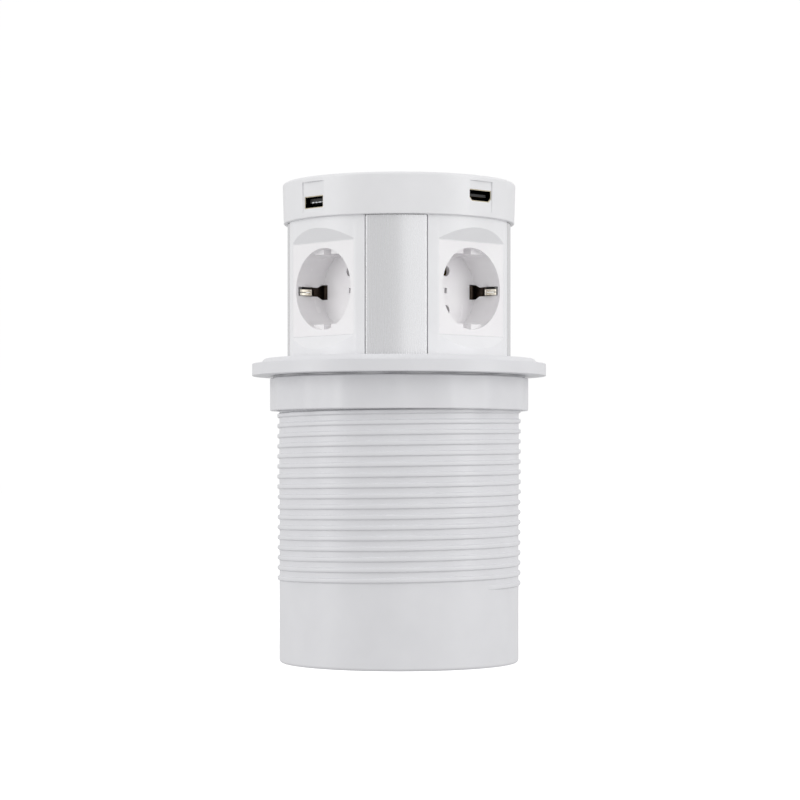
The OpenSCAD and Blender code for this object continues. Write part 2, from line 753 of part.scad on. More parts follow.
// Metal shell of a port, closed at the back
module port_shell(size, cut) {
    front = inset_x - port_back;
    difference() {
        port_prism(front - size[0], front, size, cut);
        port_prism(front - size[0] + port_wall, front + eps, size, cut, -port_wall);
    }
}

module usb_shell() {
    color("silver") rotate([0, 0, FRONT_LEFT]) translate([0, 0, usb_z]) port_shell(usb_size, usb_cut);
}

module hdmi_shell() {
    color("silver") rotate([0, 0, FRONT_RIGHT]) translate([0, 0, hdmi_z]) port_shell(hdmi_size, hdmi_cut);
}

// Contact tongue inside a port: tab holds its set-back, width, thickness and height over the middle
module port_tongue(direction, z, size, tab) {
    back = inset_x - port_back - size[0] + port_wall + touch;
    color("dimgray") rotate([0, 0, direction]) translate([0, 0, z])
        slab(back, inset_x - tab[0], tab[1], tab[2], tab[3]);
}

module usb_tongue() { port_tongue(FRONT_LEFT, usb_z, usb_size, usb_tab); }
module hdmi_tongue() { port_tongue(FRONT_RIGHT, hdmi_z, hdmi_size, hdmi_tab); }

// Small circuit boards under the ports
module port_board(direction, z) {
    color("seagreen") rotate([0, 0, direction])
        slab(board_x, board_front, board_w, board_t, z + board_t / 2);
}

module usb_board() { port_board(FRONT_LEFT, usb_board_z); }
module hdmi_board() { port_board(FRONT_RIGHT, hdmi_board_z); }

flanged_sleeve();
lip_seal();
bottom_cover();
bottom_screws();
lead_bush();
clamp_washer();
clamp_nut();
tower_base();
friction_pads();
lead_clamp();
lead_clamp_screws();
core_frame();
terminal_block();
live_rail();
neutral_rail();
earth_rail();
socket_panel_front_left();
socket_panel_front_right();
socket_panel_rear_right();
socket_panel_rear_left();
strip_front();
strip_right();
strip_rear();
strip_left();
insert_front_left();
insert_front_right();
insert_rear_right();
insert_rear_left();
earth_clip_front_left();
earth_clip_front_right();
earth_clip_rear_right();
earth_clip_rear_left();
contacts_front_left();
contacts_front_right();
contacts_rear_right();
contacts_rear_left();
contact_box_front_left();
contact_box_front_right();
contact_box_rear_right();
contact_box_rear_left();
cap_base();
cap_shell();
cap_screws();
usb_shell();
usb_tongue();
usb_board();
hdmi_shell();
hdmi_tongue();
hdmi_board();
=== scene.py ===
import json
from math import atan2, copysign, cos, degrees, hypot, pi, radians, sin, sqrt

import bmesh
import bpy
from mathutils import Matrix, Vector


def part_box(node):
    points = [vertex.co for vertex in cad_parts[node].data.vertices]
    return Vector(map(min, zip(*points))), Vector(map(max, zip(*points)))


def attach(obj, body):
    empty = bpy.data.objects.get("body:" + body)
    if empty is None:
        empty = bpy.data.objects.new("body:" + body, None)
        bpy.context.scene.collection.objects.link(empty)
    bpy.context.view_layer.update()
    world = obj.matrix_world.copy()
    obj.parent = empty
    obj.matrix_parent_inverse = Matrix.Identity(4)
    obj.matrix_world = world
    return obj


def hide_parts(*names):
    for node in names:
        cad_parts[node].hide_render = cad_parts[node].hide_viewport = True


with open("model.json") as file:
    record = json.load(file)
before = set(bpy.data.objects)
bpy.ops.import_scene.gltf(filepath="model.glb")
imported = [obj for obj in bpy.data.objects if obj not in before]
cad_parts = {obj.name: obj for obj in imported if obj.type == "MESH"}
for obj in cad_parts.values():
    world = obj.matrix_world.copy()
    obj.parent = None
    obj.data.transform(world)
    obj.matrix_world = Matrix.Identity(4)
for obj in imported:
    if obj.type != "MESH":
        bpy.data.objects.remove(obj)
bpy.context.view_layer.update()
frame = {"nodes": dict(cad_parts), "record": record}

# Sizes are in millimetres and angles in degrees, unless a note says otherwise

mm = 0.001
fullTurn = 2 * pi
weld = 0.002    # points closer than this become one
corners = ["front_left", "front_right", "rear_right", "rear_left"]
faceAngle = {"front_left": -90, "front_right": 0, "rear_right": 90, "rear_left": 180}
stripAngle = {"front": -45, "right": 45, "rear": 135, "left": 225}


def nodeBox(node):
    # the lowest and highest corners of a node
    return [[round(c / mm, 4) for c in corner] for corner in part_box(node)]


# Colours and nodes

tintSpan = (0.3, 0.7)    # noise seldom leaves this part of its range


def linear(hexColour):
    channels = [int(hexColour[i:i + 2], 16) / 255 for i in (1, 3, 5)]
    return [c / 12.92 if c <= 0.04045 else ((c + 0.055) / 1.055) ** 2.4 for c in channels] + [1]


def addNode(tree, kind, inputs=None, links=None, **settings):
    node = tree.nodes.new(kind)
    for key, value in settings.items():
        setattr(node, key, value)
    for key, value in (inputs or {}).items():
        node.inputs[key].default_value = value
    for key, socket in (links or {}).items():
        tree.links.new(socket, node.inputs[key])
    return node


def newMaterial(name, base, roughness, metallic=0.0, ior=None, **sockets):
    # the shader's own values are what shows wherever no pattern drives them
    material = bpy.data.materials.new(name)
    material.use_nodes = True
    tree = material.node_tree
    shader = tree.nodes["Principled BSDF"]
    shader.inputs["Base Color"].default_value = linear(base)
    shader.inputs["Roughness"].default_value = roughness
    shader.inputs["Metallic"].default_value = metallic
    if ior:
        shader.inputs["IOR"].default_value = ior
    for key, value in sockets.items():
        shader.inputs[key.replace("_", " ")].default_value = value
    return material, tree, shader


def objectPoints(tree, scale=(1, 1, 1)):
    coords = addNode(tree, "ShaderNodeTexCoord").outputs["Object"]
    return addNode(tree, "ShaderNodeMapping", {"Scale": scale}, {"Vector": coords}).outputs[0]


def grainOf(tree, points, size, detail=3):
    # size is the width of one grain
    return addNode(tree, "ShaderNodeTexNoise", {"Scale": 1 / (size * mm), "Detail": detail},
                   {"Vector": points}).outputs["Fac"]


def spread(tree, value, low, high):
    return addNode(tree, "ShaderNodeMapRange", {"To Min": low, "To Max": high}, {"Value": value}).outputs[0]


def tint(tree, value, dark, light):
    ramp = addNode(tree, "ShaderNodeValToRGB", None, {"Fac": value})
    for element, position, colour in zip(ramp.color_ramp.elements, tintSpan, (dark, light)):
        element.position = position
        element.color = linear(colour)
    return ramp.outputs["Color"]


def bump(tree, shader, height, depth):
    # depth is how deep the pattern is
    made = addNode(tree, "ShaderNodeBump", {"Distance": depth * mm}, {"Height": height})
    tree.links.new(made.outputs["Normal"], shader.inputs["Normal"])


# Materials, each from what the real one is

plastics = {
    # satin moulded ABS with a faint cool cast: soft broad highlights, no sparkle, the cap a trace greyer
    "tower": {"name": "abs white satin moulded", "dark": "#EDEDEF", "light": "#F0F0F2",
              "rough": (0.30, 0.40)},
    "cap": {"name": "abs white satin moulded cap", "dark": "#E9E9EB", "light": "#ECECEE",
            "rough": (0.30, 0.40)},
    # polypropylene from a duller tool: a shade greyer
    "sleeve": {"name": "polypropylene off-white moulded", "dark": "#E1E1E4", "light": "#E4E4E7",
               "rough": (0.30, 0.38)},
    # thermoset of the socket well: a trace warmer and glossier
    "socket": {"name": "urea white glossy moulded", "dark": "#F5F3F5", "light": "#F8F7F8",
               "rough": (0.22, 0.30)},
    # inner frames, never polished: plain grey, with no highlight to speak of
    "inner": {"name": "polyamide grey plain moulded", "dark": "#CFCFD1", "light": "#D8D8DA",
              "rough": (0.45, 0.58)},
    # closed foam: dull and even
    "washer": {"name": "foam seal light grey", "dark": "#C6C6C8", "light": "#CFCFD1", "rough": (0.6, 0.7)},
    # the tongue that carries a port's contacts: near black, barely glossy
    "tongue": {"name": "liquid crystal polymer dark moulded", "dark": "#0E0D0F", "light": "#141315",
               "rough": (0.4, 0.5)},
}
# spark-eroded tool grain is about 0.1 mm across, drawn at 0.35 so that a close view still shows it
mould = {"rough": 0.4, "ior": 1.53, "cloud": 14, "flow": 5, "flowStretch": (1, 1, 0.4), "grain": 0.35,
         "grainDepth": 0.004}

metals = {
    # stamped contact strip, bare: brown-yellow, with the lines of its rolling and a darker film in places
    "brass": {"name": "brass stamped bare", "dark": "#6E5830", "light": "#97793F", "rough": (0.24, 0.38),
              "stretch": (1, 1, 0.1)},
    # where a plug slides on the earth contact: plated, pale and bright
    "spring": {"name": "phosphor bronze nickel plated", "dark": "#E2D9C6", "light": "#FAF4E8",
               "rough": (0.16, 0.28), "stretch": (0.1, 1, 1)},
    # the rest of the earth contact: painted shade, nearly black, for where it lies in the well's shade
    "bronze": {"name": "phosphor bronze bare painted shade", "dark": "#2E2622", "light": "#4A4038",
               "rough": (0.3, 0.45), "stretch": (0.1, 1, 1)},
    # zinc plate: cool grey, with a soft gleam
    "screw": {"name": "steel zinc plated", "dark": "#A9ABAE", "light": "#C6C8CB", "rough": (0.28, 0.42),
              "stretch": (1, 1, 1)},
    # flash gold on the pads of a data port: warm and bright
    "gold": {"name": "contact strip gold plated", "dark": "#C99B3A", "light": "#E9C46A",
             "rough": (0.2, 0.3), "stretch": (1, 1, 1)},
}
rolled = {"film": 3, "line": 0.2, "lineDepth": 0.003}

paint = {"name": "silver satin paint", "base": "#DFDFE1", "dark": "#DDDDDF", "light": "#E2E2E4",
         "metallic": 0.5, "even": 0.27, "rough": (0.24, 0.30), "flake": 0.12, "streak": 0.5,
         "stretch": (1, 1, 0.02), "streakDepth": 0.0007}
# painted shade inside the port shell fades into the rim's colour from behind the shell's face, and the rim
# is whole just before it
portMetal = {"name": "port shell nickel plated", "base": "#D8CDB4", "inside": "#1A1613", "rim": "#DDD3BC",
             "even": 0.26, "rough": (0.2, 0.32), "face": nodeBox("hdmi_shell")[1][0], "behind": 0.65,
             "before": 0.05, "line": 0.2, "stretch": (1, 1, 0.1)}
rubber = {"name": "epdm rubber black moulded", "base": "#26262A", "dark": "#1B1B1E", "light": "#2E2E32",
          "even": 0.7, "rough": (0.6, 0.8), "ior": 1.5, "bloom": 4, "grain": 0.4, "grainDepth": 0.01}
circuit = {"name": "glass fibre board green lacquered", "base": "#14532D", "dark": "#114A28",
           "light": "#185E35", "even": 0.35, "rough": (0.3, 0.42), "ior": 1.5, "weave": 1.2,
           "distortion": 1.0}


def mouldedPlastic(settings):
    m = mould
    material, tree, shader = newMaterial(settings["name"], settings["light"], m["rough"], ior=m["ior"])
    cloud = grainOf(tree, objectPoints(tree), m["cloud"], detail=2)
    tree.links.new(tint(tree, cloud, settings["dark"], settings["light"]), shader.inputs["Base Color"])
    flow = grainOf(tree, objectPoints(tree, m["flowStretch"]), m["flow"], detail=4)
    tree.links.new(spread(tree, flow, *settings["rough"]), shader.inputs["Roughness"])
    bump(tree, shader, grainOf(tree, objectPoints(tree), m["grain"], detail=2), m["grainDepth"])
    return material


def sheetMetal(settings):
    even = sum(settings["rough"]) / 2
    material, tree, shader = newMaterial(settings["name"], settings["light"], even, metallic=1.0)
    film = grainOf(tree, objectPoints(tree), rolled["film"], detail=4)
    tree.links.new(tint(tree, film, settings["dark"], settings["light"]), shader.inputs["Base Color"])
    lines = grainOf(tree, objectPoints(tree, settings["stretch"]), rolled["line"], detail=2)
    tree.links.new(spread(tree, lines, *settings["rough"]), shader.inputs["Roughness"])
    bump(tree, shader, lines, rolled["lineDepth"])
    return material


def silverPaint():
    # flake paint on moulded plastic: pale satin silver that goes bright where it faces a lamp
    p = paint
    material, tree, shader = newMaterial(p["name"], p["base"], p["even"], metallic=p["metallic"])
    flake = addNode(tree, "ShaderNodeTexVoronoi", {"Scale": 1 / (p["flake"] * mm)},
                    {"Vector": objectPoints(tree)}).outputs["Color"]
    grey = addNode(tree, "ShaderNodeRGBToBW", None, {"Color": flake}).outputs[0]
    tree.links.new(tint(tree, grey, p["dark"], p["light"]), shader.inputs["Base Color"])
    streak = grainOf(tree, objectPoints(tree, p["stretch"]), p["streak"])
    tree.links.new(spread(tree, streak, *p["rough"]), shader.inputs["Roughness"])
    bump(tree, shader, streak, p["streakDepth"])
    return material


def portShell():
    # bright plated rim, and painted shade inside that darkens with depth behind the face, so that the hole
    # reads black behind its bright edge
    p = portMetal
    material, tree, shader = newMaterial(p["name"], p["base"], p["even"], metallic=1.0)
    place = addNode(tree, "ShaderNodeSeparateXYZ", None, {0: objectPoints(tree)})
    across, along = [addNode(tree, "ShaderNodeMath", None, {0: place.outputs[axis]},
                             operation="ABSOLUTE").outputs[0] for axis in ("X", "Y")]
    outward = addNode(tree, "ShaderNodeMath", None, {0: across, 1: along}, operation="MAXIMUM").outputs[0]
    # painted shade: the deeper inside the shell a point lies, the darker its colour
    limits = {"From Min": (p["face"] - p["behind"]) * mm, "From Max": (p["face"] + p["before"]) * mm}
    rim = addNode(tree, "ShaderNodeMapRange", limits, {"Value": outward}).outputs[0]
    tree.links.new(tint(tree, rim, p["inside"], p["rim"]), shader.inputs["Base Color"])
    lines = grainOf(tree, objectPoints(tree, p["stretch"]), p["line"], detail=2)
    tree.links.new(spread(tree, lines, *p["rough"]), shader.inputs["Roughness"])
    return material


def mouldedRubber():
    # carbon-black elastomer: near black, broad dull sheen, a little bloom
    r = rubber
    material, tree, shader = newMaterial(r["name"], r["base"], r["even"], ior=r["ior"])
    bloom = grainOf(tree, objectPoints(tree), r["bloom"], detail=5)
    tree.links.new(tint(tree, bloom, r["dark"], r["light"]), shader.inputs["Base Color"])
    tree.links.new(spread(tree, bloom, *r["rough"]), shader.inputs["Roughness"])
    bump(tree, shader, grainOf(tree, objectPoints(tree), r["grain"], detail=2), r["grainDepth"])
    return material


def solderMask():
    # glass-fibre board under green lacquer, with the weave just showing
    c = circuit
    material, tree, shader = newMaterial(c["name"], c["base"], c["even"], ior=c["ior"])
    threads = {"Scale": 1 / (c["weave"] * mm), "Distortion": c["distortion"]}
    weave = addNode(tree, "ShaderNodeTexWave", threads, {"Vector": objectPoints(tree)}).outputs["Fac"]
    tree.links.new(tint(tree, weave, c["dark"], c["light"]), shader.inputs["Base Color"])
    tree.links.new(spread(tree, weave, *c["rough"]), shader.inputs["Roughness"])
    return material


finishes = {key: mouldedPlastic(settings) for key, settings in plastics.items()}
finishes |= {key: sheetMetal(settings) for key, settings in metals.items()}
finishes |= {"silver": silverPaint(), "port": portShell(), "rubber": mouldedRubber(), "board": solderMask()}
print("materials made:", len(finishes))


# Ways to make a piece

flatUpTo = 1    # faces that meet at less than this become one
sharpFrom = {"shade": 35, "node": 30, "sheet": 60}    # and edges over these count as sharp


def drawOutline(bm, outline):
    # a closed loop of edges, from (radius, height)
    points = [bm.verts.new((r * mm, 0, z * mm)) for r, z in outline]
    return points + [bm.edges.new(pair) for pair in zip(points, points[1:] + points[:1])]


def spunProfile(bm, outline, steps=192):
    # a revolved ring
    bmesh.ops.spin(bm, geom=drawOutline(bm, outline), cent=(0, 0, 0), axis=(0, 0, 1), angle=fullTurn,
                   steps=steps, use_merge=True, use_duplicate=False)
    bmesh.ops.remove_doubles(bm, verts=bm.verts, dist=weld / 2 * mm)
    bmesh.ops.recalc_face_normals(bm, faces=bm.faces)


def roundedEnd(centre, radius, start, end, steps=4):
    angles = [radians(start + (end - start) * i / steps) for i in range(steps + 1)]
    return [(centre[0] + radius * cos(a), centre[1] + radius * sin(a)) for a in angles]


def sharpEdges(bm, angle):
    return [e for e in bm.edges if len(e.link_faces) == 2 and e.calc_face_angle(0) > radians(angle)]


def easeEdges(bm, edges, width, segments=2, clamp=True):
    # rounds the edges over a width, and gives the new vertices
    return bmesh.ops.bevel(bm, geom=edges, offset=width * mm, offset_type="OFFSET", segments=segments,
                           profile=0.5, affect="EDGES", material=-1, clamp_overlap=clamp)["verts"]


def softBox(bm, low, high, edge, segments=2):
    # a block from corner to corner, with its edges eased
    made = bmesh.ops.create_cube(bm, size=1.0)["verts"]
    bmesh.ops.scale(bm, vec=[(b - a) * mm for a, b in zip(low, high)], verts=made)
    bmesh.ops.translate(bm, vec=[(a + b) / 2 * mm for a, b in zip(low, high)], verts=made)
    return easeEdges(bm, list({e for v in made for e in v.link_edges}), edge, segments, clamp=False)


def turnPart(bm, verts, angle):
    bmesh.ops.rotate(bm, cent=(0, 0, 0), matrix=Matrix.Rotation(radians(angle), 3, "Z"), verts=verts)


def joinInto(bm, part):
    mesh = bpy.data.meshes.new("part")
    part.to_mesh(mesh)
    part.free()
    bm.from_mesh(mesh)
    bpy.data.meshes.remove(mesh)


def easedCopy(node, edge):
    # the node's own shape with its loose triangles joined, flat faces made whole and sharp edges eased
    bm = bmesh.new()
    bm.from_mesh(frame["nodes"][node].data)
    bmesh.ops.remove_doubles(bm, verts=bm.verts, dist=weld * mm)
    bmesh.ops.dissolve_limit(bm, angle_limit=radians(flatUpTo), verts=bm.verts, edges=bm.edges)
    easeEdges(bm, sharpEdges(bm, sharpFrom["node"]), edge)
    return bm


def finishPiece(name, bm, finish, body, slot, *nodes):
    for face in bm.faces:
        face.smooth = True
    for edge in sharpEdges(bm, sharpFrom["shade"]):
        edge.smooth = False
    mesh = bpy.data.meshes.new(name)
    bm.to_mesh(mesh)
    bm.free()
    mesh.materials.append(finishes[finish])
    piece = bpy.data.objects.new(name, mesh)
    bpy.context.scene.collection.objects.link(piece)
    flat = piece.modifiers.new("flatFacesStayFlat", "WEIGHTED_NORMAL")
    flat.keep_sharp = True
    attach(piece, body)
    if nodes:
        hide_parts(*nodes)


# Sleeve, flange and thread; rings are the heights of extra points up the plain wall

sleeveTo = nodeBox("flanged_sleeve")[1]
sleeve = {
    "radius": 58.75, "bore": 56.25, "flangeUnder": 140.1, "rimRadius": sleeveTo[0], "rimTop": 146.0,
    "stepRadius": 68.1, "bevel": 2.0, "top": sleeveTo[2], "lipRadius": 55.25, "lipUnder": 141.0,
    "sealLow": 143.5, "sealHigh": 145.5, "sealOut": 56.95, "footRound": 1.5, "footBevel": 0.4,
    "rimRound": 0.35, "fineRound": 0.35, "rings": (36, 60, 100, 130),
    "ribAngles": (45, 225), "ribWidth": 4.0, "ribRise": 1.0, "ribFrom": 20.0, "ribSunk": 0.6,
    "ribEdge": 0.3,
}
thread = {"pitch": 4.95, "rise": 1.0, "foot": 2.7, "crest": 1.5, "start": 38.2, "steps": 96, "fadeSteps": 4,
          "buried": 0.25, "sunkEnd": 0.15}
# the ridge's flank: shares of its rise, and steps from the edge of its foot or crest
flank = {"footShare": 0.12, "footIn": 0.16, "midShare": 0.65, "midOut": 0.22, "crestShare": 0.93,
         "crestIn": 0.28, "crown": 1.01}


def sleeveOutline():
    s = sleeve
    rim, step = s["rimRadius"], s["stepRadius"]
    soft, fine = s["rimRound"], s["fineRound"]
    bevelled = 0.4 * fine    # how far a rounding reaches along a flat that meets a bevel
    lines = [(s["bore"], s["footBevel"]), (s["bore"] + s["footBevel"], 0)]
    lines += roundedEnd((s["radius"] - s["footRound"], s["footRound"]), s["footRound"], -90, 0, 6)
    lines += [(s["radius"], z) for z in s["rings"]]
    lines += roundedEnd((s["radius"] + fine, s["flangeUnder"] - fine), fine, 180, 90, 3)
    lines += roundedEnd((rim - soft, s["flangeUnder"] + soft), soft, -90, 0, 5)
    lines += roundedEnd((rim - soft, s["rimTop"] - soft), soft, 0, 90, 5)
    lines += roundedEnd((step + fine, s["rimTop"] + fine), fine, -90, -180, 3)
    lines += roundedEnd((step - fine, s["top"] - s["bevel"] - bevelled), fine, 0, 45, 3)
    lines += roundedEnd((step - s["bevel"] - bevelled, s["top"] - fine), fine, 45, 90, 3)
    lines += roundedEnd((s["lipRadius"] + soft, s["top"] - soft), soft, 90, 180, 4)
    lines += [(s["lipRadius"], s["sealHigh"]), (s["sealOut"], s["sealHigh"]), (s["sealOut"], s["sealLow"]),
              (s["lipRadius"], s["sealLow"]), (s["lipRadius"], s["lipUnder"]), (s["bore"], s["lipUnder"])]
    return lines


def ridgeOutline(root, rise, foot, crest):
    # cross-section of the ridge, soft at its foot and crest, as (radius, height) about its middle
    f = flank
    side = [(root - copysign(thread["buried"], rise), foot / 2), (root, foot / 2),
            (root + f["footShare"] * rise, foot / 2 - f["footIn"]),
            (root + f["midShare"] * rise, crest / 2 + f["midOut"]),
            (root + f["crestShare"] * rise, crest / 2),
            (root + rise, crest / 2 - f["crestIn"]), (root + f["crown"] * rise, 0)]
    return [(r, -z) for r, z in side] + [(r, z) for r, z in reversed(side[:-1])]


def sweepRidge(outline, steps):
    # one turn is swept up its helix and repeated, and what is left of a turn is swept above them
    pitch, perTurn = thread["pitch"], thread["steps"]
    turns, rest = divmod(steps, perTurn)
    ridge = bmesh.new()
    for lift, part in ((0, perTurn), (turns, rest)):
        loop = drawOutline(ridge, [(r, z + pitch * lift) for r, z in outline])
        bmesh.ops.spin(ridge, geom=loop, cent=(0, 0, 0), axis=(0, 0, 1), steps=part,
                       dvec=(0, 0, pitch * mm / perTurn), angle=fullTurn * part / perTurn, use_merge=False,
                       use_duplicate=False)
        if lift == 0:
            turn = list(ridge.verts) + list(ridge.edges) + list(ridge.faces)
    for lift in range(1, turns):
        copy = bmesh.ops.duplicate(ridge, geom=turn)["geom"]
        bmesh.ops.translate(ridge, vec=(0, 0, pitch * lift * mm),
                            verts=[v for v in copy if isinstance(v, bmesh.types.BMVert)])
    bmesh.ops.remove_doubles(ridge, verts=ridge.verts, dist=weld * mm)
    return ridge


def fadeEnds(ridge, root, rise, steps):
    # over its first and last few steps the ridge sinks into the wall
    perTurn = thread["steps"]
    sunk = root - copysign(thread["sunkEnd"], rise)
    for vert in ridge.verts:
        radius = hypot(vert.co.x, vert.co.y) / mm
        around = (atan2(vert.co.y, vert.co.x) / fullTurn) % 1
        climbed = around + round(vert.co.z / mm / thread["pitch"] - around)
        left = min(climbed * perTurn, steps - climbed * perTurn) / thread["fadeSteps"]
        if left < 1 and (radius - root) * rise > 0:
            goal = sunk + (radius - sunk) * max(0, left)
            vert.co.x *= goal / radius
            vert.co.y *= goal / radius


def addRidge(bm, root, rise, foot, crest, zFrom, zTo, zAtZero):
    # a thread from one height to another, whose helix passes angle 0 at zAtZero
    pitch, perTurn = thread["pitch"], thread["steps"]
    first = round((zFrom - zAtZero) / pitch * perTurn)
    steps = int((zTo - zFrom) / pitch * perTurn)
    ridge = sweepRidge(ridgeOutline(root, rise, foot, crest), steps)
    fadeEnds(ridge, root, rise, steps)
    bmesh.ops.holes_fill(ridge, edges=[e for e in ridge.edges if e.is_boundary], sides=0)
    bmesh.ops.translate(ridge, vec=(0, 0, (zAtZero + pitch * first / perTurn) * mm), verts=ridge.verts)
    turnPart(ridge, ridge.verts, first * 360 / perTurn)
    joinInto(bm, ridge)


def makeSleeve():
    s, t = sleeve, thread
    bm = bmesh.new()
    spunProfile(bm, sleeveOutline())
    addRidge(bm, s["radius"], t["rise"], t["foot"], t["crest"], t["start"],
             s["flangeUnder"] - t["foot"] / 2, t["start"])
    for angle in s["ribAngles"]:
        low = (s["bore"] - s["ribRise"], -s["ribWidth"] / 2, s["ribFrom"])
        high = (s["bore"] + s["ribSunk"], s["ribWidth"] / 2, s["lipUnder"] + s["ribSunk"])
        turnPart(bm, softBox(bm, low, high, s["ribEdge"]), angle)
    bmesh.ops.recalc_face_normals(bm, faces=bm.faces)
    finishPiece("threadedSleeve", bm, "sleeve", "housing", "sleeve_white", "flanged_sleeve")


# Clamp nut

nutFrom, nutTo = nodeBox("clamp_nut")
nut = {"low": nutFrom[2], "high": nutTo[2], "bore": 60.05, "outer": nutTo[0], "wave": 1.2, "lobes": 16,
       "edge": 0.7, "boreEdge": 0.3, "steps": 320, "ridgeRise": -0.8, "ridgeFoot": 2.15, "ridgeCrest": 1.2,
       "ridgeInset": 1.6}


def nutOutline():
    n, edge, fine = nut, nut["edge"], nut["boreEdge"]
    lines = roundedEnd((n["bore"] + fine, n["low"] + fine), fine, 180, 270, 2)
    lines += roundedEnd((n["outer"] - edge, n["low"] + edge), edge, -90, 0, 5)
    lines += roundedEnd((n["outer"] - edge, n["high"] - edge), edge, 0, 90, 5)
    lines += roundedEnd((n["bore"] + fine, n["high"] - fine), fine, 90, 180, 2)
    return lines


def makeNut():
    n = nut
    bm = bmesh.new()
    spunProfile(bm, nutOutline(), n["steps"])
    middle = (n["bore"] + n["outer"]) / 2 * mm
    for vert in bm.verts:
        radius = hypot(vert.co.x, vert.co.y)
        if radius > middle:
            drop = n["wave"] * mm * (1 - cos(n["lobes"] * atan2(vert.co.y, vert.co.x))) / 2
            vert.co.x *= (radius - drop) / radius
            vert.co.y *= (radius - drop) / radius
    addRidge(bm, n["bore"], n["ridgeRise"], n["ridgeFoot"], n["ridgeCrest"], n["low"] + n["ridgeInset"],
             n["high"] - n["ridgeInset"], thread["start"] + thread["pitch"] / 2)
    bmesh.ops.recalc_face_normals(bm, faces=bm.faces)
    finishPiece("lobedNut", bm, "sleeve", "nut", "sleeve_white", "clamp_nut")


# Panels, strips and socket inserts keep the shape of their nodes, with their moulded edges eased

# radius is that of the panels' round faces, and a point as near to a side as this moves with it
skin = {"radius": -nodeBox("socket_panel_front_left")[0][1], "near": 0.45}
panel = {"edge": 0.1}
# inserts fill their openings, and the strips stand a little clear of the panels, as the photo shows
insert = {"edge": 0.06, "widen": 0.17}
strip = {"edge": 0.3, "widen": -0.35, "ledgeDepth": 0.45, "ledgeThick": 0.6, "ledgeIn": 0.6,
         "ledgeOut": 0.42, "ledgeEnds": 0.3, "ledgeEdge": 0.1}


def widenPiece(bm, angle, reach, upright=False):
    # moves the sides of a piece of the skin outwards, and its top and bottom too where upright is set
    turnPart(bm, bm.verts, -angle)
    wide = max(v.co.y for v in bm.verts)
    low, high = min(v.co.z for v in bm.verts), max(v.co.z for v in bm.verts)
    near, reach = skin["near"] * mm, reach * mm
    for vert in bm.verts:
        if abs(vert.co.y) > wide - near:
            vert.co.y += reach if vert.co.y > 0 else -reach
        if upright and vert.co.z > high - near:
            vert.co.z += reach
        if upright and vert.co.z < low + near:
            vert.co.z -= reach
    turnPart(bm, bm.verts, angle)


def addLedges(bm, angle):
    # a shallow ledge at each side of a strip, so that its groove is grey and not black
    s = strip
    turnPart(bm, bm.verts, -angle)
    wide = max(v.co.y for v in bm.verts) / mm
    low, high = min(v.co.z for v in bm.verts) / mm, max(v.co.z for v in bm.verts) / mm
    top = sqrt(skin["radius"] ** 2 - wide ** 2) - s["ledgeDepth"]
    for side in (1, -1):
        near, far = sorted((side * (wide - s["ledgeIn"]), side * (wide + s["ledgeOut"])))
        softBox(bm, (top - s["ledgeThick"], near, low + s["ledgeEnds"]), (top, far, high - s["ledgeEnds"]),
                s["ledgeEdge"], 1)
    turnPart(bm, bm.verts, angle)


def makeTowerSkin():
    for corner in corners:
        bm = easedCopy("socket_panel_" + corner, panel["edge"])
        finishPiece("panel_" + corner, bm, "tower", "tower", "tower_white", "socket_panel_" + corner)
        bm = easedCopy("insert_" + corner, insert["edge"])
        widenPiece(bm, faceAngle[corner], insert["widen"], upright=True)
        finishPiece("socket_" + corner, bm, "socket", "tower", "tower_white", "insert_" + corner)
    for side, angle in stripAngle.items():
        bm = easedCopy("strip_" + side, strip["edge"])
        widenPiece(bm, angle, strip["widen"])
        addLedges(bm, angle)
        finishPiece("silverStrip_" + side, bm, "silver", "tower", "strip_silver", "strip_" + side)


# Earth contacts: a bare leg behind and beside each well, coloured nearly black as painted shade, whose
# plated ends are slit into two fingers

insertFrom, insertTo = nodeBox("insert_front_right")
clip = {
    "path": [(30.15, 0), (30.15, 19.0), (31.45, 20.3), (38.9, 20.3), (42.4, 17.1), (46.2, 18.9),
             (47.2, 19.9)],
    "thick": 0.7, "bend": 1.2, "low": -2.0, "high": 0.9, "slit": (-0.7, -0.4), "slitFrom": 42.6,
    "plateFrom": 42.0, "footUpTo": 35.8, "footHalf": 3.3, "legHalf": 2.05, "edge": 0.12,
    "centre": (insertFrom[2] + insertTo[2]) / 2, "tailFrom": nodeBox("earth_clip_front_right")[0][0],
    "tailHalf": 1.5, "tailRise": 0.5, "tailSunk": 0.1,
}
bendShare = 0.45    # a bend takes up less than this share of the runs beside it


def bentPath(points, reach, steps=4):
    # the points joined by straight runs, with each corner bent round
    points = [Vector(p) for p in points]
    path = [points[0]]
    for a, b, c in zip(points, points[1:], points[2:]):
        before = b + (a - b).normalized() * min(reach, (a - b).length * bendShare)
        after = b + (c - b).normalized() * min(reach, (c - b).length * bendShare)
        for i in range(steps + 1):
            t = i / steps
            path.append(before.lerp(b, t).lerp(b.lerp(after, t), t))
    return path + [points[-1]]


def splitPath(points, reach):
    # the runs of the path before and after it has gone out as far as reach
    cut = next(i for i, p in enumerate(points) if p.x > reach)
    before, after = points[cut - 1], points[cut]
    joint = before.lerp(after, (reach - before.x) / (after.x - before.x))
    return points[:cut] + [joint], [joint] + points[cut:]


